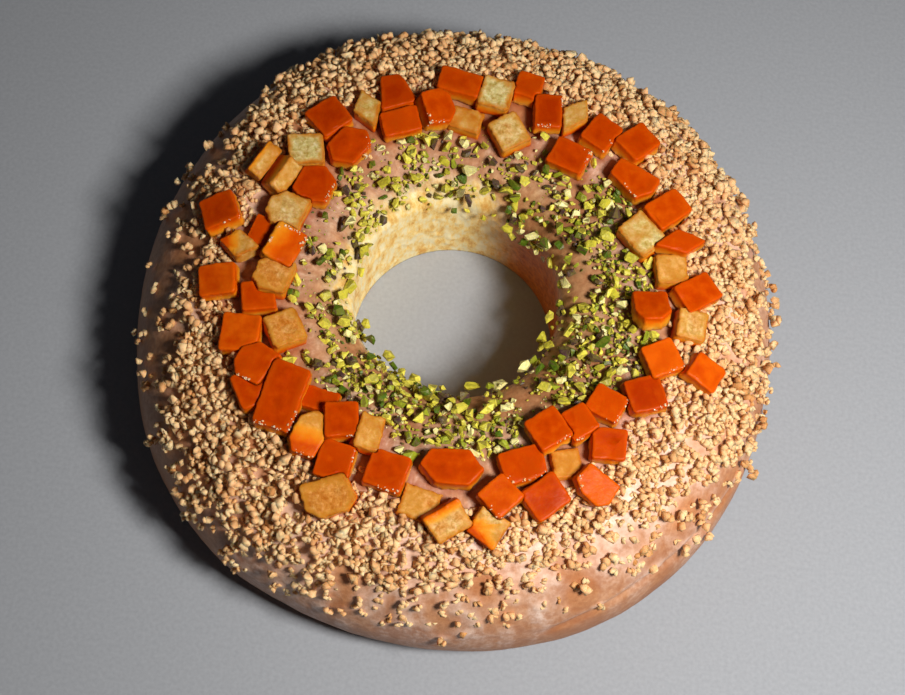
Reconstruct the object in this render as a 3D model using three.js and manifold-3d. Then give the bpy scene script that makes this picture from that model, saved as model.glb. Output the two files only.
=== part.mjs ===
// Roscon de reyes: a baked ring of sweet dough whose crown carries diced candied orange peel.
// Millimetres, +Z up. The origin is the middle of the base, on the surface the ring stands on.
// Azimuth 0 is +X and grows towards +Y; the front of the ring is at azimuth 270.
import * as THREE from 'three';
import { mergeVertices } from 'three/addons/utils/BufferGeometryUtils.js';
import Module from 'manifold-3d';

// ---- driving dimensions of the ring ----
const OUTER_RADIUS = 127.5;
const WIDEST_HEIGHT = 14; // the dough bulges out over its flat base
const BASE_RADIUS = 112;
const CROWN_RADIUS = 77; // the highest circle of the ring
const RING_HEIGHT = 62;
const HOLE_RADIUS = 40;
const HOLE_BASE_RADIUS = 41;
const WALL_HEIGHT = 43; // the hole's wall is straight up to here, where the crown's curve starts
const CROWN_FULLNESS = 2.2; // 2 would make the crown's two quarters true ellipses
const BULGE_FULLNESS = 1.7;

// ---- unevenness of a loaf shaped by hand: how far the outside swells, at which azimuth ----
const FOUR_BULGES = { reach: 1.3, azimuth: 42, times: 4 };
const ONE_SIDED_BULGE = { reach: 2.6, azimuth: 287, times: 1 };
const CROWN_WAVE = { reach: 0.9, azimuth: 20, times: 3 };

// ---- how finely the ring is faceted ----
const AROUND_STEPS = 64;
const OUTER_CROWN_STEPS = 9;
const INNER_CROWN_STEPS = 6;
const WALL_STEPS = 2;
const BULGE_STEPS = 4;
const BASE_STEPS = 2;

// ---- the diced peel ----
const PEEL_THICKNESS = 6.6;
const THICKNESS_WANDER = 0.16; // how far the thickness strays, as a share of it
const EDGE_BEVEL = 0.3;
const CORNER_TRIM = 0.06; // share of each side that a blunted corner takes
const UPWARD_TAPER = 0.04; // the upper face is this much smaller than the lower one
const KNIFE_WANDER = 0.05; // how far each corner strays, as a share of the piece's size
const GAP = 0.3; // clearance of touching pieces
const KNIFE_SEED = 11;
const WELD_DISTANCE = 1e-4; // corners nearer than this are one corner

const COLOURS = { crust: 0xc48d68, zest: 0xcd4508, pith: 0xd8b766 };
const ROUGHNESS = { crust: 0.45, peel: 0.3 };

// Outlines of a diced piece, in shares of its width (x, outwards) and length (y, along the ring).
const SQUARE = [[-0.5, -0.5], [0.5, -0.5], [0.5, 0.5], [-0.5, 0.5]];
const WEDGE = [[-0.5, -0.5], [0.5, -0.26], [0.5, 0.26], [-0.5, 0.5]];
const LOZENGE = [[-0.5, -0.3], [-0.05, -0.5], [0.5, -0.25], [0.5, 0.3], [0.05, 0.5], [-0.5, 0.28]];
const ROUNDED = [[-0.5, -0.5], [0.2, -0.5], [0.5, -0.2], [0.5, 0.25], [0.2, 0.5], [-0.5, 0.4]];
const KITE = [[-0.5, -0.02], [0.05, -0.5], [0.5, -0.05], [0.0, 0.5]];
const SLANTED = [[-0.36, -0.45], [0.1, -0.5], [0.5, -0.33], [0.0, 0.5], [-0.5, 0.35]];

// Each diced piece: azimuth, radius of its seat, how far its length is turned outwards from the
// ring's own direction, length, width, outline, and what lies up. The last two, where given, are
// its lean (the upper face looks outwards) and how high it is propped on its neighbours.
const ZEST = 'zest';
const PITH = 'pith';
const PIECES = [
  [355, 87, 0, 12, 11.5, SQUARE, PITH],
  [3.5, 88, 55, 16.5, 12.5, SQUARE, ZEST],
  [355.5, 72.5, 80, 14.5, 14, ROUNDED, ZEST, -20, 0.5],
  [9.5, 79.5, 0, 12.5, 12.5, SQUARE, PITH],
  [16.5, 83.5, 0, 11.5, 21, KITE, ZEST, 0, 1.5],
  [21.5, 71.5, -22, 16, 13, SQUARE, PITH],
  [26.6, 84, -15, 12.5, 16.5, SQUARE, ZEST, 0, 0.5],
  [39, 79.5, 0, 19.5, 15.5, SLANTED, ZEST],
  [46.5, 89.5, 0, 12.5, 15.5, SQUARE, ZEST],
  [54.5, 82.5, -5, 12.5, 14.5, SQUARE, ZEST],
  [57, 67.5, -12, 15, 12, SQUARE, ZEST],
  [63.5, 82.5, 0, 11.5, 18.5, KITE, PITH],
  [70.3, 78.5, -22, 11.5, 15, SQUARE, ZEST, 0, 1],
  [78, 86, 0, 11, 12, SQUARE, ZEST],
  [86, 79, 5, 13, 14, SQUARE, PITH, 0, 1],
  [79, 65.5, 45, 14, 13, SQUARE, PITH],
  [96, 82, 16, 18, 11, SQUARE, ZEST, 0, 0.5],
  [104.5, 71, 80, 16, 13, ROUNDED, ZEST, 20, 0.5],
  [114, 82, 0, 15.5, 15, WEDGE, ZEST],
  [115.5, 69, 3, 16, 10.5, SQUARE, ZEST, 0, 0.5],
  [123.5, 78.5, 8, 12, 18, KITE, PITH],
  [133.5, 82.5, 0, 14.5, 14.5, SQUARE, ZEST],
  [134.5, 68.5, -12, 19, 13.5, LOZENGE, ZEST, 0, 0.5],
  [145.3, 77.5, 45, 14, 13.5, SQUARE, PITH, 0, 0.5],
  [154.5, 84.5, 0, 15, 8.5, SQUARE, ZEST, 60],
  [155.5, 76, 0, 15, 8.5, SQUARE, ZEST, 45],
  [152.5, 66.5, -10, 18, 14, LOZENGE, ZEST],
  [164.5, 70.5, 0, 14.5, 15, ROUNDED, PITH, 0, 0.5],
  [170, 92.5, 54, 14.5, 14, SQUARE, ZEST],
  [176, 67.5, 15, 15, 12.5, SQUARE, ZEST, -10, 1],
  [178, 82, 0, 12.5, 17, KITE, PITH],
  [187.5, 88.5, -5, 12.5, 14.5, SQUARE, ZEST],
  [186.5, 69.5, 20, 15, 14.5, ROUNDED, PITH, 0, 1],
  [193, 74.5, 0, 12, 13, SQUARE, ZEST],
  [202.3, 82.5, 20, 15, 14.5, SQUARE, ZEST],
  [204.5, 67.5, -5, 14, 13.5, SQUARE, PITH],
  [211.5, 81.5, 60, 16, 14, ROUNDED, ZEST, 0, 0.5],
  [217, 87, 5, 14.5, 11.5, SQUARE, ZEST, -8],
  [223, 79, 54, 26, 15, SQUARE, ZEST, 0, 1],
  [234.5, 81.5, 75, 18, 12, ROUNDED, ZEST, -12],
  [239.5, 70.5, 50, 13.5, 12.5, SQUARE, ZEST, 0, 1],
  [247.5, 94, -45, 20, 14, ROUNDED, PITH],
  [244.7, 83, -15, 13, 14, SQUARE, ZEST],
  [247.5, 69.5, 75, 14, 10, SQUARE, PITH, -15],
  [257.5, 78.7, 0, 15, 14, SQUARE, ZEST],
  [273.5, 90.5, -35, 14.5, 11.5, SQUARE, PITH, 10, 0.5],
  [274, 73, 0, 24, 14, LOZENGE, ZEST],
  [282.5, 93, 40, 12.5, 12, SQUARE, PITH],
  [286, 84, -32, 12.5, 12.5, SQUARE, ZEST, 0, 2],
  [296.5, 87.5, -15, 15.5, 13, SQUARE, ZEST, 0, 0.5],
  [294, 75, 0, 16, 13, SQUARE, ZEST],
  [308, 91.5, 70, 16, 11.5, ROUNDED, ZEST, 0, 1],
  [305, 67, -5, 14, 14, SQUARE, ZEST, 0, 2],
  [314, 70.5, 5, 12, 12, SQUARE, ZEST, 0, 0.5],
  [316.5, 82.5, 45, 13, 12.5, SQUARE, ZEST],
  [324.5, 72, -12, 12, 13.5, SQUARE, ZEST],
  [333, 80.5, 42, 14, 14, SQUARE, ZEST],
  [344, 80, 45, 13.5, 13.5, SQUARE, ZEST, 0, 0.5],
  [345, 94.5, 12, 11.5, 13.5, SQUARE, ZEST, 5, 0.5],
];

const radians = THREE.MathUtils.degToRad;
const wasm = await Module();
wasm.setup();

function finish(colour, roughness) {
  return new THREE.MeshStandardMaterial({ color: colour, roughness, metalness: 0 });
}

// One wave around the ring, at its full reach where azimuth is the wave's own.
function wave({ reach, azimuth, times }, angle) {
  return reach * Math.cos(times * (angle - radians(azimuth)));
}

// How far the outside stands off a true circle at this angle.
function swelling(angle) {
  return wave(FOUR_BULGES, angle) + wave(ONE_SIDED_BULGE, angle);
}

// The swelling fades out from the outside to the wall of the hole.
function swellingShare(radius) {
  return THREE.MathUtils.clamp((radius - HOLE_RADIUS) / (OUTER_RADIUS - HOLE_RADIUS), 0, 1) ** 2;
}

// A quarter of a superellipse: 1 at share 0, falling to 0 at share 1.
function quarterFall(share, fullness) {
  return (1 - THREE.MathUtils.clamp(share, 0, 1) ** fullness) ** (1 / fullness);
}

// Height of the crown over a true circle of this radius.
function crownHeight(radius) {
  if (radius >= CROWN_RADIUS) {
    const share = (radius - CROWN_RADIUS) / (OUTER_RADIUS - CROWN_RADIUS);
    return WIDEST_HEIGHT + (RING_HEIGHT - WIDEST_HEIGHT) * quarterFall(share, CROWN_FULLNESS);
  }
  const share = (CROWN_RADIUS - radius) / (CROWN_RADIUS - HOLE_RADIUS);
  return WALL_HEIGHT + (RING_HEIGHT - WALL_HEIGHT) * quarterFall(share, CROWN_FULLNESS);
}

// A point of the section, moved to where the uneven loaf has it at this angle.
function unevenPoint(radius, height, angle) {
  const lift = wave(CROWN_WAVE, angle) * (height / RING_HEIGHT) ** 2;
  return [radius + swelling(angle) * swellingShare(radius), height + lift];
}

// Points of one quarter of the section, evenly spaced by angle; the last one is left out.
function quarterPoints(from, to, steps, fullness) {
  const points = [];
  for (let step = 0; step < steps; step += 1) {
    const turn = (step / steps) * (Math.PI / 2);
    const across = Math.sin(turn) ** (2 / fullness);
    const along = Math.cos(turn) ** (2 / fullness);
    points.push(new THREE.Vector2(
      from.x + (to.x - from.x) * across,
      to.y + (from.y - to.y) * along,
    ));
  }
  return points;
}

function straightPoints(from, to, steps) {
  const points = [];
  for (let step = 0; step < steps; step += 1) {
    points.push(from.clone().lerp(to, step / steps));
  }
  return points;
}

// The closed section: out under the base, round the bulge, over the crown and down the hole's wall.
function ringSection() {
  const wallFoot = new THREE.Vector2(HOLE_BASE_RADIUS, 0);
  const baseEdge = new THREE.Vector2(BASE_RADIUS, 0);
  const widest = new THREE.Vector2(OUTER_RADIUS, WIDEST_HEIGHT);
  const crown = new THREE.Vector2(CROWN_RADIUS, RING_HEIGHT);
  const wallTop = new THREE.Vector2(HOLE_RADIUS, WALL_HEIGHT);
  const crownToWidest = quarterPoints(crown, widest, OUTER_CROWN_STEPS, CROWN_FULLNESS);
  return [
    ...straightPoints(wallFoot, baseEdge, BASE_STEPS),
    ...quarterPoints(baseEdge, widest, BULGE_STEPS, BULGE_FULLNESS),
    widest,
    ...crownToWidest.slice(1).reverse(),
    ...quarterPoints(crown, wallTop, INNER_CROWN_STEPS, CROWN_FULLNESS),
    ...straightPoints(wallTop, wallFoot, WALL_STEPS),
    wallFoot,
  ];
}

function withoutNormals(geometry) {
  geometry.deleteAttribute('normal');
  geometry.deleteAttribute('uv');
  return mergeVertices(geometry, WELD_DISTANCE);
}

function ringGeometry() {
  const lathed = new THREE.LatheGeometry(ringSection(), AROUND_STEPS);
  lathed.rotateX(Math.PI / 2);
  const position = lathed.attributes.position;
  for (let index = 0; index < position.count; index += 1) {
    const angle = Math.atan2(position.getY(index), position.getX(index));
    const reach = Math.hypot(position.getX(index), position.getY(index));
    const [radius, height] = unevenPoint(reach, position.getZ(index), angle);
    position.setXYZ(index, radius * Math.cos(angle), radius * Math.sin(angle), height);
  }
  return withoutNormals(lathed);
}

// Pseudo-random numbers from 0 to 1, the same on every run: a linear congruential generator.
const GENERATOR = { multiplier: 1664525, increment: 1013904223, modulus: 2 ** 32 };

function knife(seed) {
  let state = seed;
  return () => {
    state = (state * GENERATOR.multiplier + GENERATOR.increment) % GENERATOR.modulus;
    return state / GENERATOR.modulus;
  };
}

// The outline with each corner blunted by a short straight cut.
function bluntedOutline(corners) {
  const points = corners.flatMap((corner, index) => {
    const before = corners[(index + corners.length - 1) % corners.length];
    const after = corners[(index + 1) % corners.length];
    return [corner.clone().lerp(before, CORNER_TRIM), corner.clone().lerp(after, CORNER_TRIM)];
  });
  return new THREE.Shape(points);
}

// One diced piece lying on the plane z = 0, larger by grow on every side.
function peelGeometry(corners, thickness, lean, prop, grow) {
  const height = thickness + 2 * grow;
  const geometry = new THREE.ExtrudeGeometry(bluntedOutline(corners), {
    depth: height - 2 * EDGE_BEVEL,
    bevelSegments: 1,
    bevelThickness: EDGE_BEVEL,
    bevelSize: EDGE_BEVEL,
    bevelOffset: grow - EDGE_BEVEL,
  });
  geometry.translate(0, 0, EDGE_BEVEL);
  const position = geometry.attributes.position;
  for (let index = 0; index < position.count; index += 1) {
    const taper = 1 - (UPWARD_TAPER * position.getZ(index)) / height;
    position.setX(index, position.getX(index) * taper);
    position.setY(index, position.getY(index) * taper);
  }
  geometry.translate(0, 0, -grow);
  geometry.rotateY(lean);
  const halfWidth = Math.max(...corners.map((corner) => Math.abs(corner.x)));
  geometry.translate(0, 0, halfWidth * Math.sin(Math.abs(lean)) + prop);
  return withoutNormals(geometry);
}

// A group whose +Z stands square on the crown at this azimuth and radius, with +X outwards.
function seatOnCrown(azimuth, seatRadius) {
  const angle = radians(azimuth);
  const radius = seatRadius - swelling(angle) * swellingShare(seatRadius);
  const [, height] = unevenPoint(radius, crownHeight(radius), angle);
  const rise = crownHeight(radius + GAP) - crownHeight(radius - GAP);
  const spoke = new THREE.Group();
  spoke.rotation.z = angle;
  const seat = new THREE.Group();
  seat.position.set(seatRadius, 0, height);
  seat.rotation.y = Math.atan2(-rise, 2 * GAP);
  spoke.add(seat);
  return { spoke, seat };
}

function toSolid(geometry) {
  return new wasm.Manifold(new wasm.Mesh({
    numProp: 3,
    vertProperties: Float32Array.from(geometry.attributes.position.array),
    triVerts: Uint32Array.from(geometry.index.array),
  }));
}

function toGeometry(solid) {
  const { vertProperties, triVerts } = solid.getMesh();
  const geometry = new THREE.BufferGeometry();
  geometry.setAttribute('position', new THREE.BufferAttribute(vertProperties, 3));
  geometry.setIndex(new THREE.BufferAttribute(triVerts, 1));
  return geometry;
}

// The mesh of one piece on its seat, and the same piece grown by the gap, in the ring's frame.
function layPiece(row, number, random) {
  const [azimuth, radius, turn, length, width, outline, upward, leanDegrees = 0, prop = 0] = row;
  const corners = outline.map(([x, y]) => new THREE.Vector2(
    (x + KNIFE_WANDER * (random() - 0.5)) * width,
    (y + KNIFE_WANDER * (random() - 0.5)) * length,
  ));
  const thickness = PEEL_THICKNESS * (1 + THICKNESS_WANDER * (random() - 0.5));
  const lean = radians(leanDegrees);
  const name = `peel_${String(number).padStart(2, '0')}_${upward}`;
  const geometry = peelGeometry(corners, thickness, lean, prop, 0);
  const mesh = new THREE.Mesh(geometry, finish(COLOURS[upward], ROUGHNESS.peel));
  mesh.name = name;
  mesh.position.z = GAP;
  mesh.rotation.z = -radians(turn);
  const { spoke, seat } = seatOnCrown(azimuth, radius);
  seat.add(mesh);
  spoke.updateMatrixWorld(true);
  const grown = peelGeometry(corners, thickness, lean, prop, GAP).applyMatrix4(mesh.matrixWorld);
  return { spoke, mesh, prop, grown: toSolid(grown) };
}

// Where a piece that is propped higher, or laid earlier, presses on this one, it is cut back.
function cutBack(piece, pressing) {
  const { mesh } = piece;
  const placed = toSolid(mesh.geometry.clone().applyMatrix4(mesh.matrixWorld));
  const cut = pressing.reduce((solid, other) => solid.subtract(other.grown), placed);
  const toOwnFrame = mesh.matrixWorld.clone().invert();
  mesh.geometry = toGeometry(cut).applyMatrix4(toOwnFrame);
}

function dicedPeel() {
  const random = knife(KNIFE_SEED);
  const pieces = PIECES.map((row, index) => layPiece(row, index + 1, random));
  const fromTheTop = [...pieces].sort((one, other) => other.prop - one.prop);
  fromTheTop.forEach((piece, index) => cutBack(piece, fromTheTop.slice(0, index)));
  return pieces.map((piece) => piece.spoke);
}

// The uneven outline leaves the ring a little off its own centre: the box's middle goes to x = y = 0.
function centre(loaf) {
  const middle = new THREE.Box3().setFromObject(loaf).getCenter(new THREE.Vector3());
  loaf.position.set(-middle.x, -middle.y, 0);
}

const loaf = new THREE.Group();
const ring = new THREE.Mesh(ringGeometry(), finish(COLOURS.crust, ROUGHNESS.crust));
ring.name = 'ring';
loaf.add(ring, ...dicedPeel());
centre(loaf);
const roscon = new THREE.Group();
roscon.add(loaf);

export default roscon;
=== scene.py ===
# %% [markdown]
# # A roscon de reyes
# A roscon is a ring of sweet yeast dough, proved round a tin, baked brown and brushed with a thin
# sugar glaze. While the glaze is wet the baker sets diced candied orange peel on the crown, rolls
# the outside in roasted chopped nuts and scatters chopped pistachios on the inner slope.
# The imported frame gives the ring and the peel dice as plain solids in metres. This lesson gives
# each of them its baked, syrupy or roasted surface, and adds the small toppings as real meshes.

import functools
import math

import bmesh
import bpy
import numpy as np
from mathutils import Matrix, Vector, noise
from mathutils.bvhtree import BVHTree


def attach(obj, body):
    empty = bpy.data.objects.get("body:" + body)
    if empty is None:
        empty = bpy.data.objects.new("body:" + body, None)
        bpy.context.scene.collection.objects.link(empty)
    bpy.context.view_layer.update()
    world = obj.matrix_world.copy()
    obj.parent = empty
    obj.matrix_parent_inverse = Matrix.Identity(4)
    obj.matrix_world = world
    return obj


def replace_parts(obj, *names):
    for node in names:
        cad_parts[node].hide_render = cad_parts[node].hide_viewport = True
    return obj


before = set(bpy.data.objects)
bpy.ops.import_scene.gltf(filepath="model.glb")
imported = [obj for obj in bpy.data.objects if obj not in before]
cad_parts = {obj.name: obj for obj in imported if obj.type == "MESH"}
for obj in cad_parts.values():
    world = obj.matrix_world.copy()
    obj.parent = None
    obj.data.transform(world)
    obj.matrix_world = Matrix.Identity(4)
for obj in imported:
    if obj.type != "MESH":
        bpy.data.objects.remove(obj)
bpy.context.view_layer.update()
MM = 0.001

# %% [markdown]
# Colours are written as a paint shop would, in sRGB hex, and a shader works in linear light, so
# one function turns them. Another adds a shader node with its settings and whatever feeds it.

# %% Colour and node helpers
def linear(hex_colour):
    """A linear RGBA colour from sRGB hex such as C98A5B."""
    channels = [int(hex_colour[i : i + 2], 16) / 255 for i in (0, 2, 4)]
    return (*[c / 12.92 if c <= 0.04045 else ((c + 0.055) / 1.055) ** 2.4 for c in channels], 1)


# The output a node hands on when it isn't the first. The mix node's colour sockets share the names
# of its number sockets, so they go by place.
MAIN_OUTPUT = {"ShaderNodeAttribute": "Fac", "ShaderNodeTexCoord": "Object", "ShaderNodeMix": 2}
MIX_A, MIX_B = 6, 7
USUAL = {"ShaderNodeMix": {"data_type": "RGBA"}, "ShaderNodeMath": {"operation": "MULTIPLY"}}


def add_node(tree, kind, inputs=None, stops=None, **settings):
    """Adds a node: settings are its properties, inputs hold values, colours as hex, or what feeds them."""
    node = tree.nodes.new(kind)
    for name, value in {**USUAL.get(kind, {}), **settings}.items():
        setattr(node, name, value)
    for name, value in (inputs or {}).items():
        if isinstance(value, str):
            value = linear(value)
        if isinstance(value, bpy.types.Node):
            value = value.outputs[MAIN_OUTPUT.get(value.bl_idname, 0)]
        if isinstance(value, bpy.types.NodeSocket):
            tree.links.new(value, node.inputs[name])
        else:
            node.inputs[name].default_value = value
    for index, (place, colour) in enumerate(stops or []):
        ramp = node.color_ramp.elements
        stop = ramp[index] if index < len(ramp) else ramp.new(place)
        stop.position = place
        stop.color = linear(colour)
    return node


def finish(pieces, name, surface):
    """Puts a new material on the pieces. The function surface adds its nodes and returns the last one."""
    material = bpy.data.materials.new(name)
    material.use_nodes = True
    material.node_tree.nodes.clear()
    add = functools.partial(add_node, material.node_tree)
    add("ShaderNodeOutputMaterial", {"Surface": surface(add)})
    for piece in pieces:
        piece.data.materials.append(material)


def per_metre(feature_mm):
    """A noise scale whose features are about this many millimetres across."""
    return 1 / (feature_mm * MM)


# %% [markdown]
# ## The loaf
# The dough rises to a full crown, bulges over its flat base and falls steeply into the hole.
# A sculpted blob could be pushed about by eye, but the ring is a true form: one section, swept
# round an axis and swollen a little here and there by the hand that shaped it. So the section
# is a handful of named sizes in millimetres, and every topping can ask the same function where
# the crust is.

# %% The loaf's section
OUTER_RADIUS, WIDEST_HEIGHT, BASE_RADIUS = 127.5, 14, 112
CROWN_RADIUS, RING_HEIGHT = 77, 62
HOLE_RADIUS, HOLE_BASE_RADIUS, WALL_HEIGHT = 40, 41, 43
CROWN_FULLNESS, BULGE_FULLNESS = 2.2, 1.7
LOAF_AXIS = np.array([-0.76, 2.49])  # the uneven outline puts the hole a little off the middle
FOUR_BULGES, ONE_SIDED_BULGE, CROWN_WAVE = (1.3, 42, 4), (2.6, 287, 1), (0.9, 20, 3)


def quarter(start, end, fullness, count=60):
    """A quarter of a superellipse in the section, level at its start and upright at its end."""
    turn = np.linspace(0, math.pi / 2, count)
    across, along = np.sin(turn) ** (2 / fullness), np.cos(turn) ** (2 / fullness)
    return np.stack([start[0] + (end[0] - start[0]) * across, end[1] + (start[1] - end[1]) * along], 1)


wall_foot, wall_top = (HOLE_BASE_RADIUS, 0), (HOLE_RADIUS, WALL_HEIGHT)
crown, widest, base_edge = (CROWN_RADIUS, RING_HEIGHT), (OUTER_RADIUS, WIDEST_HEIGHT), (BASE_RADIUS, 0)
section = np.concatenate([
    [wall_foot],
    quarter(crown, wall_top, CROWN_FULLNESS)[::-1],
    quarter(crown, widest, CROWN_FULLNESS)[1:],
    quarter(base_edge, widest, BULGE_FULLNESS)[::-1][1:],
])
steps = np.hypot(*np.diff(section, axis=0).T)
reach_along = np.concatenate([[0], np.cumsum(steps)])
reach_along -= reach_along[np.argmax(section[:, 1])]  # 0 on the crown, outwards counts up
FOOT, WALL_REACH, RIM = reach_along[-1], reach_along[0], reach_along[1]
WIDEST_REACH = reach_along[-60]
print("reach in mm: wall foot %.0f, rim %.0f, widest %.0f, foot %.0f" % (WALL_REACH, RIM, WIDEST_REACH, FOOT))


def wave(shape, degrees):
    """One swelling round the loaf: how far it reaches, at which azimuth, how many times round."""
    reach, azimuth, times = shape
    return reach * np.cos(times * np.radians(degrees - azimuth))


def smooth_loaf(azimuth, reach):
    """Points in mm of the loaf before its relief, at azimuths in degrees and reaches in mm."""
    radius = np.interp(reach, reach_along, section[:, 0])
    height = np.interp(reach, reach_along, section[:, 1])
    share = np.clip((radius - HOLE_RADIUS) / (OUTER_RADIUS - HOLE_RADIUS), 0, 1) ** 2
    radius = radius + (wave(FOUR_BULGES, azimuth) + wave(ONE_SIDED_BULGE, azimuth)) * share
    height = height + wave(CROWN_WAVE, azimuth) * (height / RING_HEIGHT) ** 2
    turn = np.radians(azimuth)
    x, y = LOAF_AXIS[0] + radius * np.cos(turn), LOAF_AXIS[1] + radius * np.sin(turn)
    return np.stack([x, y, height], -1)


def loaf_surface(azimuth, reach):
    """Those points with the outward normal at each, from small steps to both sides."""
    azimuth, reach = np.asarray(azimuth, float), np.asarray(reach, float)
    round_step = smooth_loaf(azimuth + 0.5, reach) - smooth_loaf(azimuth - 0.5, reach)
    out_step = smooth_loaf(azimuth, reach + 0.8) - smooth_loaf(azimuth, reach - 0.8)
    normal = np.cross(out_step, round_step)
    normal /= np.linalg.norm(normal, axis=-1, keepdims=True)
    return smooth_loaf(azimuth, reach), normal


# %% [markdown]
# The crust isn't smooth: it has slow lumps from the gas in the dough, a fold low on the front
# where the skin tucked under, and small blisters on the wall that baked against the tin. The
# glaze is a film that covers most of the outside, breaks into bare patches and ends at the rim
# of the hole. Each is a small function of the place on the loaf, used twice: once to move the
# mesh and once, kept as an attribute, to colour it.

# %% Relief and glaze of the crust
def smoothstep(low, high, value):
    share = np.clip((value - low) / (high - low), 0, 1)
    return share * share * (3 - 2 * share)


def field(points, feature_mm, octaves=3, offset=0.0):
    """Fractal noise from about -1 to 1 at each point in mm, with features of this size."""
    shift = Vector((offset, offset * 1.7, -offset))
    return np.array([noise.fractal(Vector(p / feature_mm) + shift, 0.9, 2.1, octaves) for p in points])


def bend(low, high, soft, degrees):
    """1 between two azimuths, fading over soft degrees outside them."""
    middle, half = (low + high) / 2, (high - low) / 2
    away = np.abs((degrees - middle + 180) % 360 - 180)
    return 1 - smoothstep(half, half + soft, away)


LUMP, SKIN, BLISTER = 0.7, 0.14, 0.6  # mm; how high each stands
LUMP_WIDTH, SKIN_WIDTH, BLISTER_WIDTH = 38, 5, 4  # mm
FILM = 0.35  # thickness of the glaze in mm
FOLD_DEPTH, FOLD_WIDTH, FOLD_REACH, FOLD_DROP = 1.3, 2.1, 57, 4.5  # mm; it drops towards both ends
FOLD_START, FOLD_END = -64, -24  # azimuths
DRIP_AZIMUTH, DRIP_WIDTH, DRIP_REACHES = 290, 0.9, (43, 56)  # degrees, degrees, mm


def from_fold(azimuth, reach):
    """How many mm a place lies outwards of the tucked fold."""
    middle, half = (FOLD_START + FOLD_END) / 2, (FOLD_END - FOLD_START) / 2
    away = (azimuth - middle + 180) % 360 - 180
    return reach - FOLD_REACH - FOLD_DROP * (away / half) ** 2


def drip(azimuth, reach):
    """Where one drop of glaze ran down the side."""
    across = np.exp(-(((azimuth - DRIP_AZIMUTH) / DRIP_WIDTH) ** 2))
    return across * smoothstep(DRIP_REACHES[0], DRIP_REACHES[0] + 5, reach) * (reach < DRIP_REACHES[1])


def glaze_cover(points, azimuth, reach):
    """How much glaze lies here, from 0 to 1."""
    streak = field(points * np.array([1, 1, 0.45]), 17, 4, 3.1)
    outside = smoothstep(-50, -36, reach) * (1 - 0.75 * smoothstep(56, 82, reach))
    # Less glaze on the wall's side away from the key lamp, so that its painted shade shows.
    outside = outside * (1 - 0.6 * wall_shading(azimuth, reach)) * (1 - 0.25 * smoothstep(-16, -28, reach))
    # More glaze on the lit right front and less on the far left, which lies in shade: partly real glaze,
    # partly painted light and painted shade.
    lit_front_right, shaded_far_left = bend(-115, 40, 30, azimuth), bend(115, 215, 30, azimuth)
    cover = smoothstep(-0.4, 0.6, streak + 0.25 * lit_front_right) * outside
    cover = cover * (1 - 0.85 * shaded_far_left * smoothstep(20, 45, reach))
    cover = cover * (1 - 0.5 * bend(-62, 25, 18, azimuth) * smoothstep(30, 52, reach))
    above_fold = np.exp(-(((from_fold(azimuth, reach) + 2.6) / 1.6) ** 2))
    collected = above_fold * bend(FOLD_START, FOLD_END, 6, azimuth)
    return np.clip(cover + 0.7 * collected + drip(azimuth, reach), 0, 1.4)


def wall_shading(azimuth, reach):
    """Painted shade on the wall of the hole, tinted warm like reflected light: most on the side that faces
    away from the key lamp.
    """
    return bend(-75, 50, 40, azimuth) * (1 - smoothstep(RIM + 6, RIM + 24, reach))


def wall_share(points, azimuth, reach):
    """1 on the pale wall that baked against the tin, 0 on the open crust. On the back it starts higher."""
    start = RIM + 3 + 11 * bend(90, 190, 35, azimuth) + 3.5 * field(points, 9, 3, 15)
    return 1 - smoothstep(start - 5, start + 5, reach)


def relief(points, azimuth, reach, glaze):
    """How far the crust stands off the smooth loaf, in mm."""
    lumps = LUMP * field(points, LUMP_WIDTH, 2)
    skin = SKIN * field(points, SKIN_WIDTH, 3, 9)
    fold = FOLD_DEPTH * np.exp(-((from_fold(azimuth, reach) / FOLD_WIDTH) ** 2))
    fold = fold * bend(FOLD_START, FOLD_END, 8, azimuth)
    tin_side = 1 - smoothstep(RIM - 4, RIM + 8, reach)
    blisters = BLISTER * np.maximum(0, field(points, BLISTER_WIDTH, 2, 21)) * tin_side
    rests = smoothstep(0, 6, points[:, 2])
    return (lumps + skin + blisters - fold + FILM * glaze) * rests


# %% [markdown]
# A grid of quads is the plainest mesh for a swept form, with its rows where they show: one every
# millimetre and a bit over the crown and walls, and three across the base that nobody sees.

# %% Building the loaf's mesh
AROUND, ROWS, BASE_ROWS = 528, 172, 3
FLOW_RADIUS, RUN = 95, 0.28  # mm, and how much shorter a step down the side counts than one round it


def link(name, data):
    """A new object with this data, in the scene."""
    made = bpy.data.objects.new(name, data)
    bpy.context.scene.collection.objects.link(made)
    return made


def link_mesh(name, vertices_mm, faces, smooth=True):
    """A mesh object in metres from vertices in mm."""
    mesh = bpy.data.meshes.new(name)
    mesh.from_pydata((np.asarray(vertices_mm) * MM).tolist(), [], faces)
    mesh.update()
    mesh.polygons.foreach_set("use_smooth", [smooth] * len(mesh.polygons))
    return link(name, mesh)


def corners_of(mesh):
    """Where its vertices are, in mm."""
    return np.array([vertex.co for vertex in mesh.vertices]) / MM


def mark(piece, name, values, domain="POINT"):
    """Stores a number or a vector for each vertex or face, which a shader can read by name."""
    values = np.asarray(values, np.float32)
    kind, field_name = ("FLOAT", "value") if values.ndim == 1 else ("FLOAT_VECTOR", "vector")
    attribute = piece.data.attributes.new(name, kind, domain)
    attribute.data.foreach_set(field_name, values.ravel())


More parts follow.
